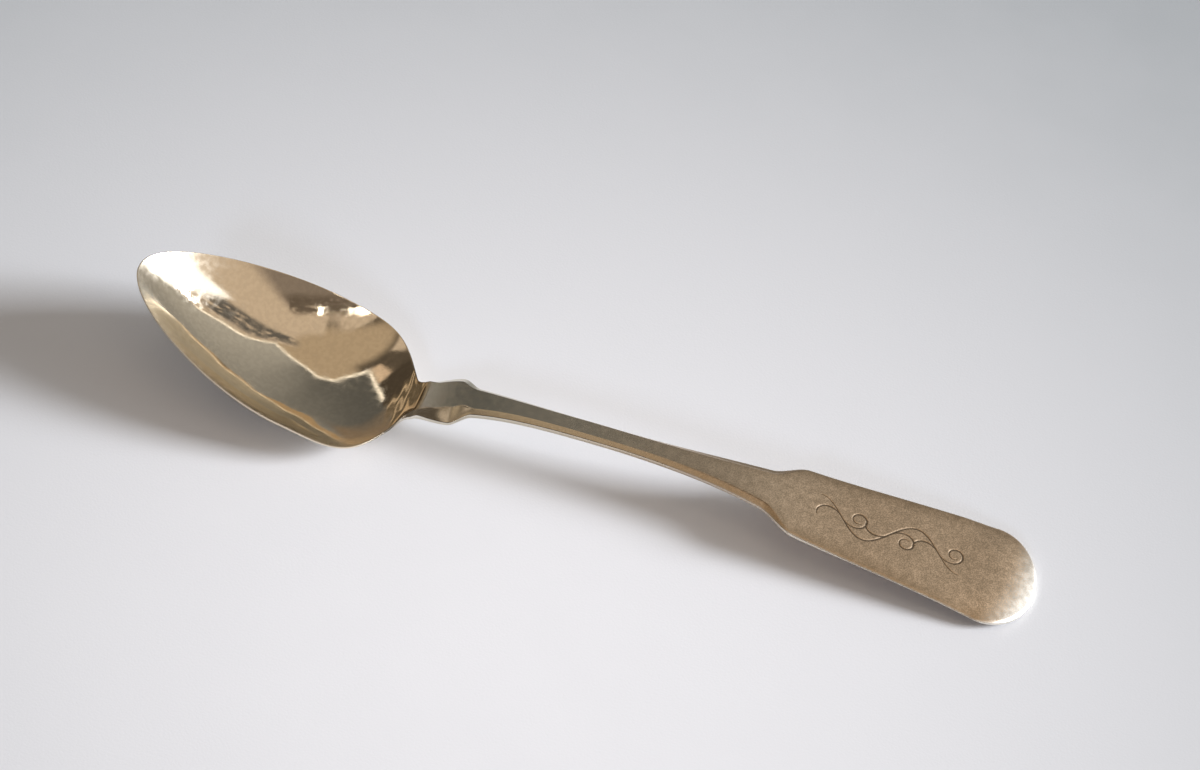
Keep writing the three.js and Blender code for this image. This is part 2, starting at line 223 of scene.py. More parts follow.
# Fineness of the meshes
CURVE_POINTS = 400
RIM_POINTS = 260
LIP_POINTS = 24
WALL_SHARES = (*np.linspace(0.01, 0.995, 150), 0.9995, 1)  # from the middle of the bowl to its rim
ROUNDING_RINGS = 11
TOP_POINTS = 241
CROWDING = 0.35  # how much closer the points across the handle lie near its edges
SIDE_STEPS = 6
BACK_STEPS = 32
TONGUE_RINGS = 140
STEM_STEP = 0.25
FLAT_STEP = 0.1
END_RINGS = 90
FIRST_STEP = 0.02  # from the end of the tongue to the first ring of the stem
SECOND_STEP = 0.03
LAST_STEP = 1e-4  # the last ring is this far from the end, where the outline closes
SOLDER_POINTS = 41
LAYER_RINGS = 30
FILED_RINGS = 10
ROUND_POINTS = 300  # on the outline of the round end, where distances from it are measured
STRAIGHT_POINTS = 200
STEM_POINTS = 300  # on the stem of the vine
CURL_POINTS = 200
LINE_POINTS = 500
PORTIONS = 80  # distances are measured in portions, to save memory

# Camera
CAMERA_AIM = (-1.66, 17.92)  # on the table, in millimetres of the frame
CAMERA_ELEVATION = 47.41
CAMERA_AZIMUTH = 8.74
CAMERA_ROLL = 9.34
CAMERA_DISTANCE = 601.96
LENS = 110.68
SENSOR = 36

# Silver
POLISHED = (0.90, 0.80, 0.645)
GREYED = (0.75, 0.70, 0.59)
YELLOWED = (0.86, 0.65, 0.455)
# bright worn silver, also laid on as a painted highlight on the handle's round end and very edge
RUBBED_AND_HIGHLIGHT = (0.93, 0.89, 0.81)
TARNISH = (0.30, 0.21, 0.12)
DIRT = (0.09, 0.07, 0.05)
DIRT_SHARE = 0.8
DIRT_FULL = 0.7  # the mark of dirt at which it has that share
FINISH_CHANGE = (-0.02, 0.05)  # from the finish of the bowl end to that of the other, in metres of the frame
NOISE_RANGE = (0.3, 0.7)  # where most values of a noise lie
BLOTCH_RANGE = (0.38, 0.62)
RUB_AND_HIGHLIGHT_RANGE = (0.5, 1.3)
FINE_SCALE = 900  # of the scratches, and of the changes in polish
POLISH_SWING = 0.04

# Table, in metres
TABLE_SIZE = 4
# The table's colour carries painted light and shade: lightest round this place, darker and bluer farther
# away
TABLE_PAINTED_LIGHT_AT = (0, -0.04, 0)
TABLE_PAINTED_FALLOFF = 0.25  # distance from there at which the painted shade is darkest
TABLE_PAINTED_LIT = (0.86, 0.855, 0.87)
TABLE_PAINTED_SHADE = (0.36, 0.385, 0.4)
MOTTLE = (0.7, 0.7, 0.72)
MOTTLE_SHARE = 0.06
MOTTLE_SCALE = 60
GRAIN_SCALE = 2500
GRAIN_DEPTH = 0.00005

# Room and lights
DARK = (0.10, 0.08, 0.06)
DARKER = (0.07, 0.055, 0.04)
CEILING = (0.46, 0.36, 0.25)
SHADED_WALL = (0.25, 0.205, 0.17)
GOLD = (0.60, 0.49, 0.38)
DARK_PATCH = (0.14, 0.11, 0.085)
GREY_PATCH = (0.13, 0.12, 0.11)
WARM_STRIP = (0.70, 0.53, 0.38)
BROWN_PANEL = (0.12, 0.092, 0.06)
LIGHT_STRIPE = (0.55, 0.42, 0.28)
BRIGHT = (1.3, 1.2, 1.05)
GREY_LEFT = (0.107, 0.105, 0.098)
GREY_RIGHT = (0.42, 0.405, 0.37)
GREY_LOW = (0.31, 0.30, 0.28)
BROWN_LOW = (0.22, 0.165, 0.115)
GLOW = (1.6, 1.6, 1.6)
DAYLIGHT = (0.96, 1.0, 1.07)
LAMPLIGHT = (1.0, 0.95, 0.85)
SKYLIGHT = (0.8, 0.95, 1.2)


# Curves

def smooth(t):
    """A share that leaves 0 and comes to 1 without a corner."""
    t = np.clip(t, 0, 1)
    return t * t * (3 - 2 * t)


def link(t, gap, start, end, start_slope, end_slope):
    """A smooth line from one value to another with given slopes at its ends, at a share of the gap."""
    swing = t * (1 - t) * gap * (start_slope * (1 - t) - end_slope * t)
    return start + (end - start) * smooth(t) + swing


def spline(stations):
    """A natural cubic spline through (place, value) stations."""
    place, value = np.array(stations, float).T
    gap = np.diff(place)
    slope = np.diff(value) / gap
    count = len(place)
    system = np.eye(count)
    pull = np.zeros(count)
    for i in range(1, count - 1):
        system[i, i - 1:i + 2] = gap[i - 1], 2 * (gap[i - 1] + gap[i]), gap[i]
        pull[i] = 6 * (slope[i] - slope[i - 1])
    bend = np.linalg.solve(system, pull)

    def at(x):
        i = np.clip(np.searchsorted(place, x) - 1, 0, count - 2)
        d = x - place[i]
        start = slope[i] - gap[i] * (2 * bend[i] + bend[i + 1]) / 6
        twist = (bend[i + 1] - bend[i]) / (6 * gap[i])
        return value[i] + d * (start + d * (bend[i] / 2 + d * twist))

    return at


def sweep(stations):
    """A smooth line through (place, value, slope) stations, level beyond its ends."""
    place, value, slope = np.array(stations, float).T

    def at(x):
        x = np.clip(x, place[0], place[-1])
        i = np.clip(np.searchsorted(place, x, side="right"), 1, len(place) - 1)
        gap = place[i] - place[i - 1]
        return link((x - place[i - 1]) / gap, gap, value[i - 1], value[i], slope[i - 1], slope[i])

    return at


def bezier(points, count):
    """Points on the curve that a few points pull into shape."""
    t = np.linspace(0, 1, count)[:, None]
    level = [np.array(p, float) for p in points]
    while len(level) > 1:
        level = [a * (1 - t) + b * t for a, b in zip(level, level[1:])]
    return level[0]


def evenly(line, count):
    """Points at equal distances along a line of points."""
    run = np.concatenate([[0], np.cumsum(np.hypot(*np.diff(line, axis=0).T))])
    places = np.linspace(0, run[-1], count)
    return np.column_stack([np.interp(places, run, line[:, i]) for i in (0, 1)])


# Meshes

def mesh_piece(name, rings, solid, slot, material, **marks):
    """A closed piece whose skin runs through rings of points, with a fan over each end.

    Marks are shares for each point that the material reads: edge is 1 along the edges, where the bowl is
    duller and the handle darker, dirt is 1 where dirt stays, and rubbed_and_highlight is higher where use
    keeps the silver bright and where a highlight is painted into the colour.
    """
    count = rings.shape[1]
    last = len(rings) - 1
    points = np.vstack([rings[0].mean(0), rings.reshape(-1, 3), rings[-1].mean(0)])
    ends = len(points) - 1
    j = np.arange(count)
    after = (j + 1) % count
    starts = 1 + np.arange(last)[:, None] * count
    quads = np.stack([starts + j, starts + count + j, starts + count + after, starts + after], axis=-1)
    first_fan = np.column_stack([np.zeros(count, int), 1 + j, 1 + after])
    last_fan = np.column_stack([np.full(count, ends), 1 + last * count + after, 1 + last * count + j])
    faces = quads.reshape(-1, 4).tolist() + first_fan.tolist() + last_fan.tolist()
    place = points * MM + np.array([cad_low.x, 0, 0])
    mesh = bpy.data.meshes.new(name)
    mesh.from_pydata(place.tolist(), [], faces)
    mesh.shade_smooth()
    for label, share in marks.items():
        layer = mesh.attributes.new(label, "FLOAT", "POINT")
        layer.data.foreach_set("value", np.concatenate([[share.flat[0]], share.ravel(), [share.flat[-1]]]))
    mesh.materials.append(material)
    piece = bpy.data.objects.new(name, mesh)
    bpy.context.scene.collection.objects.link(piece)
    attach(piece, "root")
    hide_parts(solid)
    return piece


# Bowl

def rim_side(count):
    """One side of the rim in plan, from the tip to the corner of the lip."""
    widest = (WIDEST_AT, BOWL_HALF)
    before = (WIDEST_AT - SIDE_FULLNESS, BOWL_HALF)
    after = (WIDEST_AT + HEEL_FULLNESS, BOWL_HALF)
    throat = (THROAT_AT, THROAT_HALF)
    lip_run = (THROAT_HALF - LIP_HALF) / (BOWL_HALF - THROAT_HALF) * HEEL_CORNER
    side = bezier([(0, 0), (0, TIP_BLUNTNESS), before, widest], count)
    heel = bezier([widest, after, (THROAT_AT - HEEL_CORNER, BOWL_HALF), throat], count)
    lip = bezier([throat, (THROAT_AT + lip_run, LIP_HALF), (SEAM_AT, LIP_HALF)], count)
    return np.vstack([side, heel[1:], lip[1:]])


RIM = rim_side(CURVE_POINTS)

rim_height = sweep([
    (0, TIP_HEIGHT, RIM_TIP_SLOPE),
    (WIDEST_AT, RIM_AT_WIDEST, RIM_WIDEST_SLOPE),
    (RIM_LOW_AT, RIM_LOW, 0),
    (SEAM_AT, LIP_HEIGHT, RIM_LIP_SLOPE),
])
keel_height = sweep([
    (0, TIP_HEIGHT, KEEL_TIP_SLOPE),
    (LOWEST_AT, SHEET - WEAR, 0),
    (SEAM_AT, LIP_HEIGHT - LIP_HOLLOW, KEEL_LIP_SLOPE),
])


def share_across(x, y):
    """How far a place is from the middle of the bowl: 1 at the rim."""
    return np.abs(y) / np.maximum(np.interp(x, *RIM.T), 1e-6)


def throat_share(x):
    """0 in the bowl and 1 in its throat."""
    return np.clip((x - THROAT_FADE_AT) / THROAT_FADE, 0, 1)


def beating(x, y):
    """Soft dents in the inside of the bowl and file marks across its heel, fading out towards the rim."""
    dents = sum(np.sin(along * x + across * y + start) for along, across, start in DENT_WAVES)
    turn = 2 * math.pi * (x + RIPPLE_LEAN * y) / RIPPLE_LENGTH
    ripples = sum(height * np.sin(pace * turn + drift * y) for height, pace, drift in RIPPLE_WAVES)
    fade = np.clip(1 - share_across(x, y) ** 2, 0, 1) * np.clip(SEAM_AT - x, 0, 1)
    return (BEATING * dents + RIPPLE * ripples * throat_share(x)) * fade


def inside_height(x, y):
    """The inside of the bowl, which rises from its keel to its rim."""
    x = np.clip(x, 0, SEAM_AT)
    across = share_across(x, y)
    steepness = np.interp(x, (0, STEEP_FROM), (TIP_STEEPNESS, WALL_STEEPNESS))
    rise = (1 - steepness) * across ** 2 + steepness * across ** 4
    return keel_height(x) + (rim_height(x) - keel_height(x)) * rise


def back_height(x, y):
    """One sheet below the inside, square to the wall, and worn flat where the bowl rests."""
    x = np.clip(x, 0, SEAM_AT)
    step = 0.05
    low = np.maximum(x - step, TIP_CLEARANCE)
    high = np.minimum(x + step, SEAM_AT)
    along = (inside_height(high, y) - inside_height(low, y)) / (high - low)
    across = (inside_height(x, y + step) - inside_height(x, y - step)) / (2 * step)
    lean = np.minimum(np.sqrt(1 + along ** 2 + across ** 2), STEEPEST_LEAN)
    sheet = SHEET + (RIM_THICKNESS - SHEET) * np.clip(share_across(x, y), 0, 1) ** 4
    return np.maximum(inside_height(x, y) - sheet * lean, 0)


def bowl_top(x, y):
    """The inside of the bowl, which runs smoothly into the top of the handle at the lip."""
    return np.where(x < BLEND_START, inside_height(x, y), blended_face(x, y))


def bowl(material):
    """Rings from the lowest place out to the rounded rim on the inside, and back again outside."""
    near = evenly(RIM, RIM_POINTS) * [1, -1]
    far = evenly(RIM, RIM_POINTS)[::-1]
    lip_line = np.linspace(-LIP_HALF, LIP_HALF, LIP_POINTS + 2)[1:-1]
    lip = np.column_stack([np.full(LIP_POINTS, SEAM_AT), lip_line])
    rim = np.vstack([near, lip, far[:-1]])
    centre = np.array([LOWEST_AT, 0])
    reach = np.hypot(*(rim - centre).T)
    at_lip = rim[:, 0] > SEAM_AT - LIP_STRIP
    start = 1 - np.where(at_lip, FLUSH, RIM_ROUNDING) / reach
    shares = [start * share for share in WALL_SHARES]
    turns = np.linspace(math.pi / 2, -math.pi / 2, ROUNDING_RINGS + 2)[1:-1]
    rings = []
    edge = []
    dirt = []

    def add_ring(share, turn):
        place = centre + share[:, None] * (rim - centre)
        x, y = place.T
        top = bowl_top(x, y)
        bottom = back_height(x, y)
        height = (top + bottom) / 2 + (top - bottom) / 2 * math.sin(turn)
        if turn == math.pi / 2:
            height = height + beating(x, y)
        rings.append(np.column_stack([place, height]))
        throat = throat_share(x)
        rim_band = np.clip(1 - (1 - share) * reach / RIM_BAND, 0, 1)
        worn = np.where(y < 0, 1 - throat, np.clip((WORN_UNTIL - x) / WORN_FADE, 0, 1))
        edge.append(rim_band * worn)
        dirt.append(np.clip(2 * math.cos(turn), 0, 1) * throat)

    for share in shares:
        add_ring(share, math.pi / 2)
    for turn in turns:
        add_ring(start + (1 - start) * math.cos(turn), turn)
    for share in reversed(shares):
        add_ring(share, -math.pi / 2)
    marks = {"edge": np.array(edge), "dirt": np.array(dirt)}
    return mesh_piece("spoon_bowl", np.array(rings), "bowl", "bowl_silver", material, **marks)


# Handle

handle_top = spline([
    (SEAM_AT, SEAM_HEIGHT),
    (SHOULDER_AT, SHOULDER_HEIGHT),
    (CREST_AT, CREST_HEIGHT),
    ((CREST_AT + FLARE_AT) / 2, STEM_HEIGHT),
    (FLARE_AT, FLARE_HEIGHT),
    (FIDDLE_AT, FIDDLE_HEIGHT),
    ((FIDDLE_AT + SPOON_LENGTH) / 2, FIDDLE_MIDDLE_HEIGHT),
    (SPOON_LENGTH, FIDDLE_THICKNESS),
])
thickness = spline([
    (SEAM_AT, HEEL_THICKNESS),
    (NECK_AT, NECK_THICKNESS),
    (WAIST_AT, WAIST_THICKNESS),
    (FLARE_AT, FLARE_THICKNESS),
    (FIDDLE_AT, FIDDLE_THICKNESS),
    (SPOON_LENGTH, FIDDLE_THICKNESS),
])

FIDDLE_TAPER = (FIDDLE_END_HALF - FIDDLE_SHOULDER_HALF) / (ROUND_AT - FIDDLE_AT)
side_sweep = sweep([
    (SEAM_AT, HEEL_HALF, 0),
    (SHOULDER_AT, SHOULDER_HALF, 0),
    (NECK_AT, NECK_HALF, -NECK_PULL * (NECK_HALF - WAIST_HALF) / (WAIST_AT - NECK_AT)),
    (WAIST_AT, WAIST_HALF, 0),
    (FLARE_AT, STEM_END_HALF, FLARE_PULL * (STEM_END_HALF - WAIST_HALF) / (FLARE_AT - WAIST_AT)),
    (FIDDLE_AT, FIDDLE_SHOULDER_HALF, FIDDLE_TAPER),
    (ROUND_AT, FIDDLE_END_HALF, FIDDLE_TAPER),
])


def half_width(x):
    """Half the width of the handle outside the bowl, with its round end."""
    share = np.clip((x - ROUND_AT) / END_ROUNDING, 0, 1)
    return np.where(x < ROUND_AT, side_sweep(x), FIDDLE_END_HALF * np.sqrt(1 - share ** 2))


def edge_size(heel, flank, shoulder, neck, waist, flare, fiddle):
    """A size of the edge that changes from the heel over the shoulders and the stem to the flat end."""
    places = (SEAM_AT, FLANK_AT, SHOULDER_AT, NECK_AT, WAIST_AT, FLARE_AT, FIDDLE_AT)
    sizes = (heel, flank, shoulder, neck, waist, flare, fiddle)
    return sweep([(place, size, 0) for place, size in zip(places, sizes)])


HEEL_BEVEL = HEEL_HALF - LIP_HALF
bevel_width = edge_size(heel=HEEL_BEVEL, flank=1.5, shoulder=2.7, neck=0.9, waist=0.8, flare=1.1, fiddle=0.5)
far_bevel_width = edge_size(
    heel=HEEL_BEVEL, flank=1.2, shoulder=1.3, neck=0.7, waist=0.42, flare=1.1, fiddle=0.5)
bevel_drop = edge_size(heel=0.9, flank=1.1, shoulder=1.0, neck=0.5, waist=0.4, flare=0.5, fiddle=0.12)
far_bevel_drop = edge_size(heel=0.9, flank=0.9, shoulder=0.75, neck=0.45, waist=0.4, flare=0.5, fiddle=0.12)
bevel_roundness = edge_size(
    heel=1.05, flank=1.05, shoulder=1.05, neck=1.05, waist=1.05, flare=0.6, fiddle=1.5)
side_height = edge_size(heel=0.2, flank=0.25, shoulder=0.25, neck=0.22, waist=0.2, flare=0.3, fiddle=0.4)


def gaps_to(spots, x, y, chosen):
    """Portions of the chosen places, each with its distances to all spots."""
    for portion in np.array_split(chosen, PORTIONS):
        along = x.flat[portion][:, None] - spots[:, 0]
        across = y.flat[portion][:, None] - spots[:, 1]
        yield portion, np.hypot(along, across)


def from_edge(x, y):
    """Distance from the outline of the handle in plan."""
    step = 0.01
    lean = (side_sweep(x + step) - side_sweep(x - step)) / (2 * step)
    inward = np.maximum(half_width(x) - np.abs(y), 0) / np.sqrt(1 + lean ** 2)
    turn = np.linspace(0, math.pi / 2, ROUND_POINTS)
    end = np.column_stack([ROUND_AT + END_ROUNDING * np.sin(turn), FIDDLE_END_HALF * np.cos(turn)])
    side = np.linspace(ROUND_AT - 2 * END_ROUNDING, ROUND_AT, STRAIGHT_POINTS)
    outline = np.vstack([np.column_stack([side, side_sweep(side)]), end])
    near_end = np.flatnonzero(x > ROUND_AT - END_ROUNDING)
    for portion, gaps in gaps_to(outline, x, np.abs(y), near_end):
        inward.flat[portion] = gaps.min(axis=1)
    return inward


def curl(start, heading, length, side):
    """A tendril that leaves a place along a heading and curls up more and more to one side."""
    run = np.linspace(0, length, CURL_POINTS)
    turn = heading + side * (CURL_BEND * run + CURL_TIGHTENING * run ** 2)
    step = run[1] * np.column_stack([np.cos(turn), np.sin(turn)])
    return np.array(start) + np.cumsum(step, axis=0)


def vine_lines():
    """A waving stem, and a long and a short tendril at each crossing of its middle line."""
    along = np.linspace(-VINE_LENGTH / 2, VINE_LENGTH / 2, STEM_POINTS)
    pace = VINE_BENDS * math.pi / VINE_LENGTH
    lines = [np.column_stack([along, VINE_SWING * np.sin(pace * along)])]
    for crossing in (-1, 0, 1):
        place = crossing * VINE_LENGTH / VINE_BENDS
        slope = VINE_SWING * pace * math.cos(pace * place)
        heading = math.atan(slope)
        side = -1 if slope > 0 else 1
        lines.append(curl((place, 0), heading, LONG_TENDRIL, side))
        lines.append(curl((place, 0), heading + math.pi, SHORT_TENDRIL, side))
    return [line + [VINE_MIDDLE, 0] for line in lines]


def groove(x, y, lines):
    """Depth of the engraving as a share: each line swells in its middle and is fine at its ends."""
    spots = np.vstack([evenly(line, LINE_POINTS) for line in lines])
    swell = GROOVE_END + (1 - GROOVE_END) * np.sin(np.linspace(0, math.pi, LINE_POINTS))
    half = np.tile(swell, len(lines)) * GROOVE_HALF
    depth = np.zeros(x.shape)
    along = np.abs(x - VINE_MIDDLE) < VINE_LENGTH / 2 + VINE_MARGIN
    near = np.flatnonzero(along & (np.abs(y) < VINE_REACH))
    for portion, gaps in gaps_to(spots, x, y, near):
        depth.flat[portion] = np.clip(1 - (gaps / half).min(axis=1), 0, 1)
    return depth


def face_height(x, y):
    """The top face without its edges: a little crowned on the flat end and a little arched near its end."""
    t = np.clip((x - SPOON_LENGTH) / END_ARCH_LENGTH + 1, 0, 1)
    arch = END_ARCH * 27 / 4 * t * t * (1 - t)  # its highest place is where t is 2 / 3
    on_fiddle = np.clip((x - FLARE_AT) / (FIDDLE_AT - FLARE_AT), 0, 1)
    return handle_top(x) + arch - CROWN * on_fiddle * (y / side_sweep(x)) ** 4


def blended_face(x, y):
    """The top face of the heel: from the slope of the lip to the slope of the handle."""
    step = 0.02
    y = np.clip(y, -LIP_HALF, LIP_HALF)
    start = np.full(np.shape(x), BLEND_START)
    end = np.full(np.shape(x), BLEND_END)
    low = inside_height(start, y)
    high = face_height(end, y)
    low_slope = (low - inside_height(start - step, y)) / step
    high_slope = (face_height(end + step, y) - high) / step
    gap = BLEND_END - BLEND_START
    t = np.clip((x - BLEND_START) / gap, 0, 1)
    return link(t, gap, low, high, low_slope, high_slope)


def soft_edge(inward):
    """How much an edge is rounded off at a distance from it."""
    share = np.clip(1 - inward / EDGE_SOFTNESS, 0, 1)
    return EDGE_SOFTNESS * (1 - np.sqrt(1 - share ** 2))


def top_height(x, y):
    """The top of the handle with its bevels and soft edges, turned down round the end."""
    inward = from_edge(x, y)
    width = np.where(y > 0, far_bevel_width(x), bevel_width(x))
    drop = np.where(y > 0, far_bevel_drop(x), bevel_drop(x))
    bevel = drop * np.clip(1 - inward / width, 0, 1) ** bevel_roundness(x)
    turned_down = END_DROP * end_share(x) * np.clip(1 - inward / END_TURN, 0, 1) ** 2
    face = np.where(x < BLEND_END, blended_face(x, y), face_height(x, y))
    return face - bevel - soft_edge(inward) - turned_down


def end_share(x):
    """0 on the flat end, rising smoothly to 1 at the round end."""
    return smooth((x - ROUND_AT + END_TURN) / END_TURN)


def lip_half(x):
    """Half the width of the bowl near its lip."""
    return np.interp(x, *RIM.T)


def wing_share(x):
    """How far the tongue has come out beside the lip: 0 at the rim of the bowl and 1 near the seam."""
    return np.clip((x - WING_OUT) / (WING_END - WING_OUT), 0, 1)


def tongue_half(x):
    """Half the width of the tongue, which is round at its end and wider than the lip where it comes out."""
    share = np.clip((x - TONGUE_AT) / TONGUE_ROUNDING, 0, 1)
    half = np.maximum(TONGUE_HALF * np.sqrt(1 - (1 - share) ** 2), TONGUE_END_HALF)
    inset = WING_INSET * np.clip((WING_OUT - x) / (WING_OUT - WING_WIDE), 0, 1)
    wing = lip_half(x) - inset + HEEL_BEVEL * wing_share(x)
    return half + (wing - half) * smooth((x - WING_AT) / (WING_WIDE - WING_AT))


def seam_height(x, y):
    """The lower side of the layer of solder under the bowl."""
    return back_height(x, y) - SEAM


def tongue_top(x, y):
    """The seam under the bowl, closing under the wings, and beside the lip the start of the heel's bevel."""
    lip = lip_half(x)
    slope = bevel_drop(SEAM_AT) / bevel_width(SEAM_AT)
    sunk = RIM_THICKNESS * (1 - wing_share(x))
    beside = bowl_top(x, lip) - sunk - slope * (np.abs(y) - lip) - soft_edge(tongue_half(x) - np.abs(y))
    closed = np.clip((np.abs(y) - TONGUE_HALF) / SEAM_CLOSING, 0, 1) * (SEAM - WING_GAP)
    return np.where(np.abs(y) > lip, beside, seam_height(x, y) + closed)


EVEN = np.linspace(1, -1, TOP_POINTS)
ACROSS = CROWDING * np.sin(math.pi / 2 * EVEN) + (1 - CROWDING) * EVEN
SIDE_SHARES = np.linspace(0, 1, SIDE_STEPS + 1)[1:]
BACK_TURNS = np.linspace(0, math.pi, BACK_STEPS + 1)[1:]


def loft(x, half, top, side, bottom, thinness=1.0):
    """Rings round the handle: across the top, down one side, along the round back and up the other side.

    The back is an ellipse at a thinness of 1, and runs out thin to its sides, as a parabola, at 2.
    """
    across = half[:, None] * ACROSS
    place = np.broadcast_to(x[:, None], across.shape).copy()
    high = top(place, across)
    low = bottom[:, None]

    def side_wall(corner):
        foot = np.maximum(corner - side[:, None], low + LEAST_BACK * (corner - low))
        return foot, corner + (foot - corner) * SIDE_SHARES

    near_foot, down = side_wall(high[:, -1:])
    far_foot, far_down = side_wall(high[:, :1])
    foot = near_foot + (far_foot - near_foot) * np.linspace(0, 1, len(BACK_TURNS))
    back = foot - (foot - low) * np.clip(np.sin(BACK_TURNS), 0, 1) ** np.reshape(thinness, (-1, 1))
    up = far_down[:, ::-1][:, 1:]
    wall = np.ones(len(SIDE_SHARES)) * half[:, None]
    y = np.hstack([across, -wall, -half[:, None] * np.cos(BACK_TURNS), wall[:, 1:]])
    z = np.hstack([high, down, back, up])
    return np.stack([np.broadcast_to(x[:, None], y.shape), y, z], axis=-1)


def tongue_rings():
    """The part of the handle that laps under the bowl."""
    x = np.linspace(TONGUE_AT, FRONT_AT, TONGUE_RINGS)
    share = (x - TONGUE_AT) / (FRONT_AT - TONGUE_AT)
    heel_bottom = handle_top(FRONT_AT) - thickness(FRONT_AT)
    thick = TONGUE_TIP_THICKNESS + share * (seam_height(SEAM_AT, 0) - heel_bottom - TONGUE_TIP_THICKNESS)
    sides = (TONGUE_TIP_THICKNESS / 2, WING_THICKNESS, side_height(FRONT_AT))
    side = np.interp(x, (TONGUE_AT, WING_WIDE, FRONT_AT), sides)
    middle = 4 * share * (1 - share)
    thinness = 1 + middle ** 2
    return loft(x, tongue_half(x), tongue_top, side, seam_height(x, 0) - thick, thinness)


def stem_places():
    """Where the rings of the stem and the flat end lie."""
    first = [FRONT_AT + FIRST_STEP]
    stem = np.arange(FRONT_AT + SECOND_STEP, FIDDLE_AT, STEM_STEP)
    flat = np.arange(FIDDLE_AT, ROUND_AT, FLAT_STEP)
    end = ROUND_AT + END_ROUNDING * np.sin(np.linspace(0, math.pi / 2, END_RINGS))
    return np.concatenate([first, stem, flat, end[:-1], [SPOON_LENGTH - LAST_STEP]])


def handle_wear(x, y):
    """Shares of the darker edge of the flat end, and of its worn bright round end, heel and very edge; the
    round end and the very edge also carry a painted highlight.
    """
    inward = from_edge(x, y)
    outer = np.clip((x - CREST_AT) / (FIDDLE_AT - CREST_AT), 0, 1)
    dark = np.clip(1 - inward / EDGE_BAND, 0, 1) * outer
    # the end is worn bright outside an oval, which also paints in the highlight where the end turns down
    away = np.hypot(x - RUB_AND_HIGHLIGHT_FROM, RUB_AND_HIGHLIGHT_OVAL * (y - RUB_AND_HIGHLIGHT_SIDE))
    end = np.clip((away - RUB_AND_HIGHLIGHT_START) / RUB_AND_HIGHLIGHT_LENGTH, 0, 1) * (x > RUB_AND_HIGHLIGHT_FROM)
    heel = np.clip(1 - np.abs(x - SEAM_AT) / RUBBED_HEEL, 0, 1)
    # a thin bright line along the very edge: wear and a painted highlight
    edge = np.clip(1 - inward / RUB_AND_HIGHLIGHT_EDGE, 0, 1) * outer
    return dark, end + HEEL_RUB * heel + EDGE_RUB_AND_HIGHLIGHT * edge


def handle(material):
    """From the end of the tongue to the round end, with the vine engraved on the flat end."""
    x = stem_places()
    stem = loft(x, half_width(x), top_height, side_height(x), handle_top(x) - thickness(x))
    cut = np.zeros(stem.shape[:2])
    cut[:, :TOP_POINTS] = groove(stem[:, :TOP_POINTS, 0], stem[:, :TOP_POINTS, 1], vine_lines())
    stem[..., 2] -= GROOVE_DEPTH * cut
    tongue = tongue_rings()
    hidden = np.zeros(tongue.shape[:2])
    hidden[:, :TOP_POINTS] = np.abs(tongue[:, :TOP_POINTS, 1]) < lip_half(tongue[:, :TOP_POINTS, 0])
    rings = np.vstack([tongue, stem])
    edge, rubbed_and_highlight = handle_wear(rings[..., 0], rings[..., 1])
    marks = {"edge": edge, "dirt": np.vstack([hidden, cut]), "rubbed_and_highlight": rubbed_and_highlight}
    return mesh_piece("spoon_handle", rings, "handle", "handle_silver", material, **marks)


# Solder

def solder_joint(material):
    """The layer of solder under the lip, and the part that fills the seam, filed flush with both sides."""
    across = np.linspace(1, -1, SOLDER_POINTS)
    rings = []

    def add_ring(x, y, top):
        around = np.concatenate([y, y[::-1]])
        height = np.concatenate([top, seam_height(x, y)[::-1]])
        rings.append(np.column_stack([np.full(len(around), x), around, height]))

    for x in np.linspace(SOLDER_FROM, SOLDER_TO, LAYER_RINGS):
        y = (min(tongue_half(x), TONGUE_HALF, lip_half(x)) - SOLDER_INSET) * across
        add_ring(x, y, back_height(x, y))
    for x in np.linspace(SEAM_AT - SOLDER_LAP, FRONT_AT + SOLDER_LAP, FILED_RINGS):
        y = LIP_HALF * across
        add_ring(x, y, blended_face(np.full(y.shape, x), y) - FLUSH)
    rings = np.array(rings)
    none = np.zeros(rings.shape[:2])
    return mesh_piece("spoon_solder", rings, "solder_joint", "hard_solder", material, edge=none, dirt=none)


# Materials

def node(tree, kind, inputs=(), **settings):
    """A shader node with its settings, and inputs set to a value or joined to a socket."""
    made = tree.nodes.new(kind)
    for name, value in settings.items():
        setattr(made, name, value)
    for key, value in dict(inputs).items():
        if isinstance(value, bpy.types.NodeSocket):
            tree.links.new(value, made.inputs[key])
        else:
            made.inputs[key].default_value = value
    return made


def new_material(name):
    material = bpy.data.materials.new(name)
    material.use_nodes = True
    tree = material.node_tree
    return material, tree, tree.nodes["Principled BSDF"]


def noise(tree, scale, stretch=(1, 1, 1), detail=4):
    """Noise in the frame, with features of about 1/scale metres divided by the stretch of each axis."""
    place = node(tree, "ShaderNodeTexCoord").outputs["Object"]
    mapped = node(tree, "ShaderNodeMapping", {"Vector": place, "Scale": stretch}).outputs["Vector"]
    made = node(tree, "ShaderNodeTexNoise", {"Vector": mapped, "Scale": scale, "Detail": detail})
    return made.outputs["Fac"]


def ramp(tree, value, low, high, to_low=0.0, to_high=1.0):
    """A value taken from one range smoothly to another."""
    inputs = {"Value": value, "From Min": low, "From Max": high, "To Min": to_low, "To Max": to_high}
    made = node(tree, "ShaderNodeMapRange", inputs, interpolation_type="SMOOTHSTEP")
    return made.outputs["Result"]


def blend(tree, share, first, second):
    """A colour between two, by a share."""
    made = node(tree, "ShaderNodeMix", data_type="RGBA")
    tree.links.new(share, made.inputs["Factor"])
    colours = [socket for socket in made.inputs if socket.type == "RGBA"]
    for socket, value in zip(colours, (first, second)):
        if isinstance(value, bpy.types.NodeSocket):
            tree.links.new(value, socket)
        else:
            socket.default_value = (*value, 1)
    return next(socket for socket in made.outputs if socket.type == "RGBA")


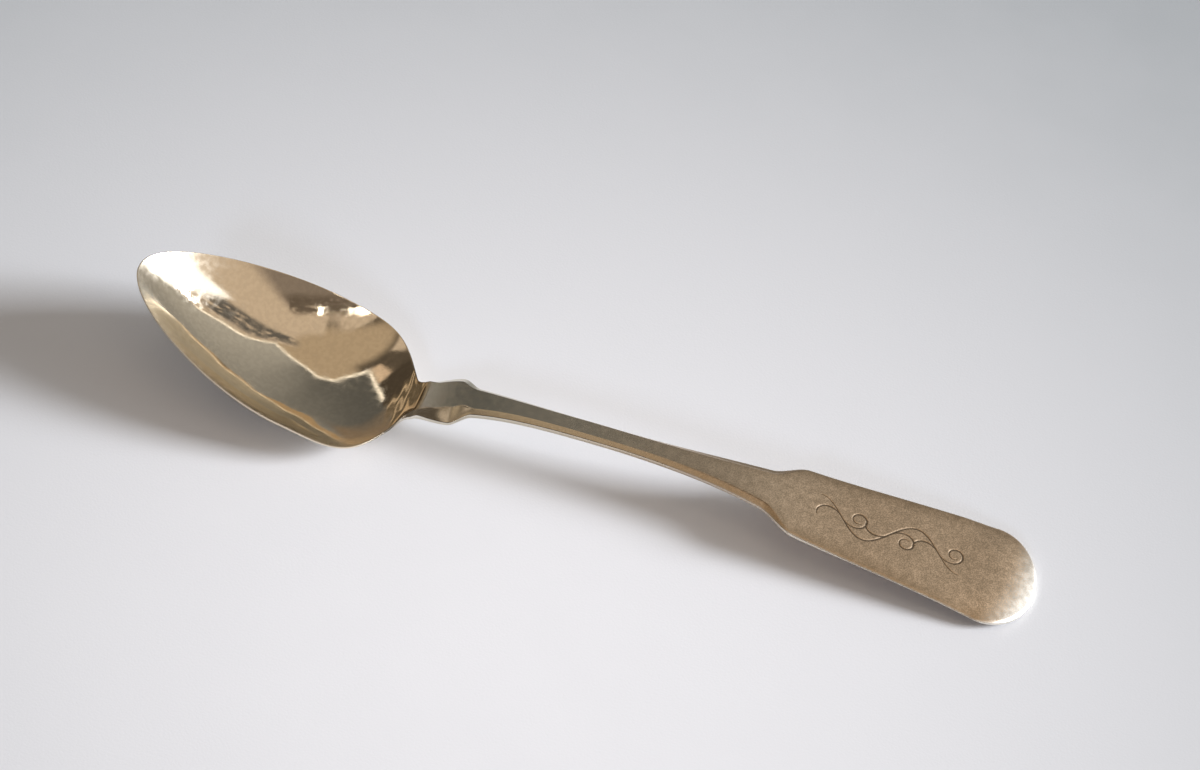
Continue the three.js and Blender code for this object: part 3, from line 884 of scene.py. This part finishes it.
def mark(tree, name):
    """A share that the mesh carries for each point."""
    return node(tree, "ShaderNodeAttribute", attribute_name=name).outputs["Fac"]


def along_spoon(tree, at_bowl, at_end):
    """A value that changes from the bowl end of the spoon to its other end."""
    place = node(tree, "ShaderNodeTexCoord").outputs["Object"]
    x = node(tree, "ShaderNodeSeparateXYZ", {"Vector": place}).outputs["X"]
    return ramp(tree, x, *FINISH_CHANGE, at_bowl, at_end)


def plus(tree, first, second):
    return node(tree, "ShaderNodeMath", {0: first, 1: second}, operation="ADD").outputs["Value"]


def times(tree, first, second):
    return node(tree, "ShaderNodeMath", {0: first, 1: second}, operation="MULTIPLY").outputs["Value"]


def silver(name, clean, tarnish, tarnish_size, roughness, edge_dullness, edge_darkening, scratch, stretch):
    """Worn silver: blotches of tarnish, scratches, edges of another finish, dirty grooves, and places worn
    bright that also carry painted highlights.

    The colour of clean silver, the share of tarnish in the darkest blotches and the roughness are given for
    the bowl end of the spoon and for its other end. Scratches have a depth, in metres.
    """
    material, tree, shader = new_material(name)
    edge = mark(tree, "edge")
    speckle = noise(tree, 1 / tarnish_size, detail=6)
    blotches = times(tree, ramp(tree, speckle, *BLOTCH_RANGE), along_spoon(tree, *tarnish))
    # the bright worn colour also paints highlights into the handle's round end and very edge
    rubbed_and_highlight = ramp(tree, plus(tree, mark(tree, "rubbed_and_highlight"), speckle), *RUB_AND_HIGHLIGHT_RANGE)
    dirt = ramp(tree, mark(tree, "dirt"), 0, DIRT_FULL, 0, DIRT_SHARE)
    colour = blend(tree, along_spoon(tree, 0, 1), *clean)
    colour = blend(tree, blotches, colour, TARNISH)
    # darker towards the edges of the handle's flat end
    colour = blend(tree, ramp(tree, edge, 0, 1, 0, edge_darkening), colour, TARNISH)
    colour = blend(tree, rubbed_and_highlight, colour, RUBBED_AND_HIGHLIGHT)
    colour = blend(tree, dirt, colour, DIRT)
    polish = ramp(tree, noise(tree, FINE_SCALE, detail=3), *NOISE_RANGE, -POLISH_SWING, POLISH_SWING)
    dull = plus(tree, along_spoon(tree, *roughness), polish)
    dull = plus(tree, dull, ramp(tree, edge, 0, 1, 0, edge_dullness))
    scratches = noise(tree, FINE_SCALE, stretch, detail=5)
    bump = node(tree, "ShaderNodeBump", {"Height": scratches, "Strength": 1, "Distance": scratch})
    shader.inputs["Metallic"].default_value = 1
    tree.links.new(colour, shader.inputs["Base Color"])
    tree.links.new(dull, shader.inputs["Roughness"])
    tree.links.new(bump.outputs["Normal"], shader.inputs["Normal"])
    return material


def table_material():
    """Pale painted board with a fine grain, and painted light and shade: lightest in front of the spoon,
    darker and bluer farther away.
    """
    material, tree, shader = new_material("table_white")
    place = node(tree, "ShaderNodeTexCoord").outputs["Object"]
    # painted shade that grows with the distance from the lightest place
    gap = node(tree, "ShaderNodeVectorMath", {0: place, 1: TABLE_PAINTED_LIGHT_AT}, operation="DISTANCE")
    colour = blend(tree, ramp(tree, gap.outputs["Value"], 0, TABLE_PAINTED_FALLOFF), TABLE_PAINTED_LIT, TABLE_PAINTED_SHADE)
    mottle = ramp(tree, noise(tree, MOTTLE_SCALE), *NOISE_RANGE, 0, MOTTLE_SHARE)
    colour = blend(tree, mottle, colour, MOTTLE)
    grain = noise(tree, GRAIN_SCALE, detail=2)
    bump = node(tree, "ShaderNodeBump", {"Height": grain, "Strength": 0.3, "Distance": GRAIN_DEPTH})
    shader.inputs["Roughness"].default_value = 0.8
    shader.inputs["Specular IOR Level"].default_value = 0.1
    tree.links.new(colour, shader.inputs["Base Color"])
    tree.links.new(bump.outputs["Normal"], shader.inputs["Normal"])
    return material


# Scene

def table():
    bpy.ops.mesh.primitive_plane_add(size=TABLE_SIZE)
    floor = bpy.context.object
    floor.name = "table"
    floor.data.materials.append(table_material())


def camera_axes():
    """Directions away from the camera and to its right on the table, and up."""
    turn = math.radians(CAMERA_AZIMUTH)
    away = Vector((-math.sin(turn), math.cos(turn), 0))
    right = Vector((math.cos(turn), math.sin(turn), 0))
    return away, right, Vector((0, 0, 1))


def direction(azimuth, elevation):
    away, right, up = camera_axes()
    a, e = math.radians(azimuth), math.radians(elevation)
    return math.cos(e) * (math.cos(a) * away + math.sin(a) * right) + math.sin(e) * up


def camera():
    away, right, up = camera_axes()
    e, roll = math.radians(CAMERA_ELEVATION), math.radians(CAMERA_ROLL)
    forward = math.cos(e) * away - math.sin(e) * up
    upright = math.sin(e) * away + math.cos(e) * up
    x_axis = math.cos(roll) * right + math.sin(roll) * upright
    y_axis = math.cos(roll) * upright - math.sin(roll) * right
    place = Vector((*CAMERA_AIM, 0)) * MM - forward * CAMERA_DISTANCE * MM
    data = bpy.data.cameras.new("camera")
    data.sensor_width = SENSOR
    data.lens = LENS
    data.clip_start = 0.01
    made = bpy.data.objects.new("camera", data)
    bpy.context.scene.collection.objects.link(made)
    made.matrix_world = Matrix.Translation(place) @ Matrix((x_axis, y_axis, -forward)).transposed().to_4x4()
    bpy.context.scene.camera = made


def area_light(name, azimuth, elevation, distance, size, radiance, colour):
    """A rectangular light that faces the spoon, of a given brightness."""
    data = bpy.data.lights.new(name, "AREA")
    data.shape = "RECTANGLE"
    data.size, data.size_y = size
    data.energy = radiance * math.pi * size[0] * size[1]
    data.color = colour
    made = bpy.data.objects.new(name, data)
    bpy.context.scene.collection.objects.link(made)
    towards = direction(azimuth, elevation)
    made.location = towards * distance
    made.rotation_euler = towards.to_track_quat("Z", "Y").to_euler()
    return made


class Room:
    """Directions as seen from the camera, in degrees, and panels painted by them on the world."""

    def __init__(self, tree):
        self.tree = tree
        way = node(tree, "ShaderNodeTexCoord").outputs["Generated"]
        turn = {"Vector": way, "Angle": -math.radians(CAMERA_AZIMUTH)}
        self.turned = node(tree, "ShaderNodeVectorRotate", turn, rotation_type="Z_AXIS").outputs["Vector"]
        split = node(tree, "ShaderNodeSeparateXYZ", {"Vector": self.turned}).outputs
        azimuth = node(tree, "ShaderNodeMath", {0: split["X"], 1: split["Y"]}, operation="ARCTAN2")
        elevation = node(tree, "ShaderNodeMath", {0: split["Z"]}, operation="ARCSINE")
        self.azimuth = azimuth.outputs["Value"]
        self.elevation = elevation.outputs["Value"]
        clouds = node(tree, "ShaderNodeTexNoise", {"Vector": way, "Scale": 16, "Detail": 5})
        self.patches = ramp(tree, clouds.outputs["Fac"], 0.35, 0.48)

    def rise(self, value, degrees, softness, low=0, high=1):
        """A share that changes from low to high where an azimuth or an elevation passes an angle."""
        start, end = math.radians(degrees - softness), math.radians(degrees + softness)
        return ramp(self.tree, value, start, end, low, high)

    def between(self, value, degrees, softness):
        rise = self.rise(value, degrees[0], softness)
        return times(self.tree, rise, self.rise(value, degrees[1], softness, 1, 0))

    def panel(self, behind, colour, azimuths, elevations, softness, cover=None):
        """A panel of one colour between two azimuths and two elevations, in front of what is behind."""
        wide = self.between(self.azimuth, azimuths, softness)
        share = times(self.tree, wide, self.between(self.elevation, elevations, softness))
        return blend(self.tree, share if cover is None else times(self.tree, share, cover), behind, colour)

    def under(self, highest_at, top, softness):
        """1 below a straight edge that is highest at an azimuth."""
        turn, lean = math.radians(highest_at), math.radians(top)
        normal = (math.sin(turn) * math.sin(lean), math.cos(turn) * math.sin(lean), -math.cos(lean))
        side = node(self.tree, "ShaderNodeVectorMath", {0: self.turned, 1: normal}, operation="DOT_PRODUCT")
        return ramp(self.tree, side.outputs["Value"], -math.radians(softness), math.radians(softness))


def ceiling_and_walls(room):
    """A ceiling over dark walls, which are lit behind the camera and on its right, with dark patches."""
    colour = blend(room.tree, room.rise(room.elevation, 66, 7), DARK, CEILING)
    colour = room.panel(colour, SHADED_WALL, (120, 190), (-10, 60), 5)
    colour = room.panel(colour, GOLD, (72, 190), (46, 75), 4)
    colour = room.panel(colour, GOLD, (72, 143), (14, 60), 6)
    colour = room.panel(colour, DARK_PATCH, (146, 185), (36, 53), 4, room.patches)
    return room.panel(colour, GREY_PATCH, (79, 103), (34, 76), 4, room.patches)


def left_side(room, colour):
    """On the left, a gold panel and a warm strip, above dark panels with two light stripes."""
    colour = room.panel(colour, GOLD, (-95, -64), (47, 61), 3)
    colour = room.panel(colour, WARM_STRIP, (-44, -35), (42, 56), 2)
    colour = room.panel(colour, DARKER, (-70, -30), (24, 40.5), 1.5)
    colour = room.panel(colour, BROWN_PANEL, (-70, -30), (-10, 25), 2)
    for stripe in (20, 13.5):
        colour = room.panel(colour, LIGHT_STRIPE, (-70, -30), (stripe, stripe + 2.5), 0.8)
    return colour


def far_wall(room, colour):
    """A grey wall beyond the table, under a slanting edge, with a bright line round it."""
    colour = room.panel(colour, CEILING, (-28, 72), (50, 76), 4)
    colour = room.panel(colour, BRIGHT, (-34.5, 73.5), (30, 90), 1, room.under(39, 68.8, 1))
    colour = room.panel(colour, BRIGHT, (-34.5, -18), (30, 57), 1)
    grey = blend(room.tree, room.rise(room.azimuth, 20, 50), GREY_LEFT, GREY_RIGHT)
    grey = blend(room.tree, room.rise(room.elevation, 10, 12, 1, 0), grey, GREY_LOW)
    grey = room.panel(grey, BROWN_LOW, (-40, -5), (-20, 20), 4)
    colour = room.panel(colour, grey, (-32.5, 71), (-20, 90), 1, room.under(39, 67.3, 1))
    return room.panel(colour, grey, (-32.5, -18), (20, 55), 1)


def surroundings():
    """The room that the silver reflects, and the glow round its window."""
    world = bpy.data.worlds.new("room")
    bpy.context.scene.world = world
    world.use_nodes = True
    tree = world.node_tree
    room = Room(tree)
    colour = far_wall(room, left_side(room, ceiling_and_walls(room)))
    colour = room.panel(colour, GLOW, (68, 108.5), (8, 45), 2.5, room.under(128, 39.5, 1.5))
    tree.links.new(colour, tree.nodes["Background"].inputs["Color"])


def light():
    """A window, a small lamp behind the camera, and two weak cool lights that the silver doesn't show."""
    area_light(
        "window", azimuth=85.5, elevation=21.7, distance=5, size=(1.65, 1.45), radiance=54, colour=DAYLIGHT)
    area_light(
        "lamp", azimuth=172.4, elevation=50.5, distance=3, size=(0.08, 0.4), radiance=14, colour=LAMPLIGHT)
    sky = area_light("sky", azimuth=0, elevation=85, distance=3, size=(2, 2), radiance=0.12, colour=SKYLIGHT)
    far_window = area_light(
        "far_window", azimuth=-160, elevation=30, distance=3, size=(0.5, 0.5), radiance=16, colour=SKYLIGHT)
    for fill in (sky, far_window):
        fill.visible_glossy = False
    bpy.context.scene.view_settings.view_transform = "Standard"


def spoon():
    bowl(silver(
        "bowl_silver", clean=(POLISHED, POLISHED), tarnish=(0.1, 0.1), tarnish_size=0.0008,
        roughness=(0.075, 0.075), edge_dullness=0.15, edge_darkening=0, scratch=2e-6, stretch=(1, 5, 5)))
    handle(silver(
        "handle_silver", clean=(GREYED, YELLOWED), tarnish=(0.15, 0.6), tarnish_size=0.00022,
        roughness=(0.2, 0.42), edge_dullness=0, edge_darkening=0.5, scratch=5e-6, stretch=(1, 9, 9)))
    solder_joint(silver(
        "hard_solder", clean=(GREYED, GREYED), tarnish=(0.12, 0.12), tarnish_size=0.00022,
        roughness=(0.2, 0.2), edge_dullness=0, edge_darkening=0, scratch=5e-6, stretch=(1, 9, 9)))


spoon()
table()
camera()
surroundings()
light()
